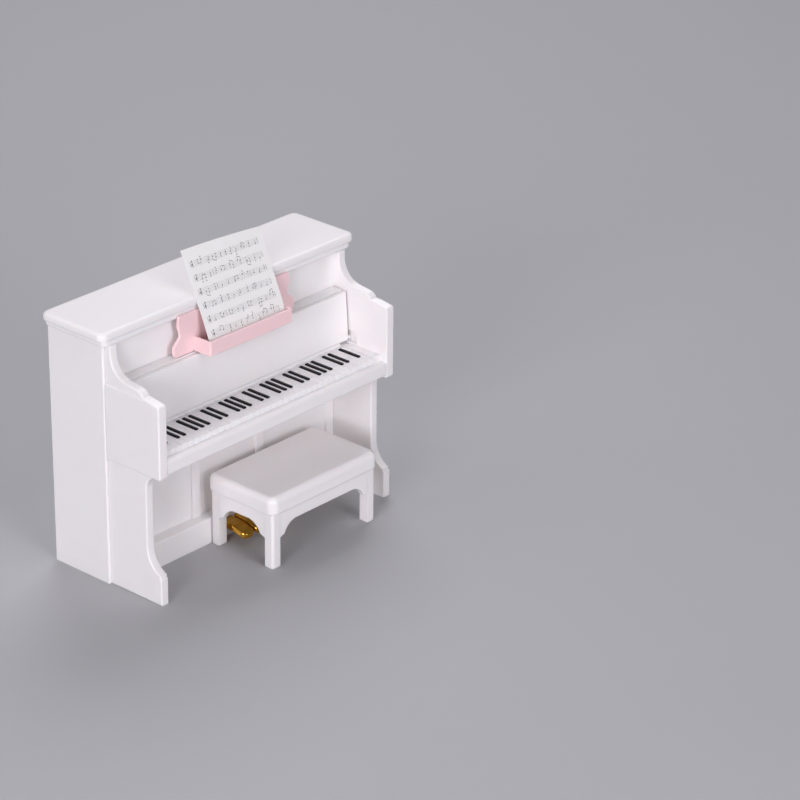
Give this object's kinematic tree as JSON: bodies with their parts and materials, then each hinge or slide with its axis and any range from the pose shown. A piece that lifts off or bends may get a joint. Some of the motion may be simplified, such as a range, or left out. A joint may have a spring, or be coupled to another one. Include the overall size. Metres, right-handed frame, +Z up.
{
  "type": "miniature upright piano with bench",
  "caption": "Dolls' house upright piano with a hinged fallboard, moulded keyboard, gold pedals, lift-off music stand with a leaning music sheet, and a separate bench.",
  "frame": {"origin": "centre of the case's underside, midway between its sides and midway between its front and back, on the surface that it stands on", "axes": "+X along the keyboard to the player's right, +Y from the player towards the piano's back, +Z up"},
  "size_m": [0.13, 0.0651, 0.1154],
  "materials": {
    "white_plastic": "satin injection-moulded white plastic",
    "key_plastic": "satin white plastic keys",
    "black_plastic": "gloss black plastic",
    "gold_plastic": "gold metallic coating on plastic",
    "pink_plastic": "satin pale pink plastic",
    "printed_paper": "uncoated white paper with printed staves"
  },
  "bodies": {
    "piano": {"case_side_left": "white_plastic", "case_side_right": "white_plastic", "back_panel": "white_plastic", "bottom_board": "white_plastic", "top_lid": "white_plastic", "lid_moulding": "white_plastic", "arm_left": "white_plastic", "arm_right": "white_plastic", "upper_panel": "white_plastic", "music_shelf": "white_plastic", "key_bed": "white_plastic", "key_slip": "white_plastic", "key_block_left": "white_plastic", "key_block_right": "white_plastic", "white_keys": "key_plastic", "black_keys": "black_plastic", "lower_panel": "white_plastic", "plinth": "white_plastic", "pedal_left": "gold_plastic", "pedal_middle": "gold_plastic", "pedal_right": "gold_plastic", "pedal_bar": "white_plastic"},
    "fallboard": {"fallboard": "white_plastic"},
    "music_stand": {"stand_back": "pink_plastic", "stand_tray": "pink_plastic"},
    "music_sheet": {"music_sheet": "printed_paper"},
    "bench": {"bench_seat": "white_plastic", "bench_leg_front_left": "white_plastic", "bench_leg_front_right": "white_plastic", "bench_leg_back_left": "white_plastic", "bench_leg_back_right": "white_plastic", "bench_apron_front": "white_plastic", "bench_apron_back": "white_plastic", "bench_apron_left": "white_plastic", "bench_apron_right": "white_plastic"}
  },
  "joints": [
    {"name": "fallboard_hinge", "type": "hinge", "parent": "piano", "child": "fallboard", "pos_m": [0, -0.0212, 0.061], "axis": [1, 0, 0], "range_deg": [0, 94]},
    {"name": "stand_slide", "type": "slide", "parent": "piano", "child": "music_stand", "axis": [0, -1, 0], "range_m": [0, 0.015]},
    {"name": "sheet_slide", "type": "slide", "parent": "music_stand", "child": "music_sheet", "axis": [0, 0.3939, 0.9191], "range_m": [0, 0.028]},
    {"name": "bench_slide", "type": "slide", "parent": "piano", "child": "bench", "axis": [0, -1, 0], "range_m": [0, 0.04]}
  ]
}
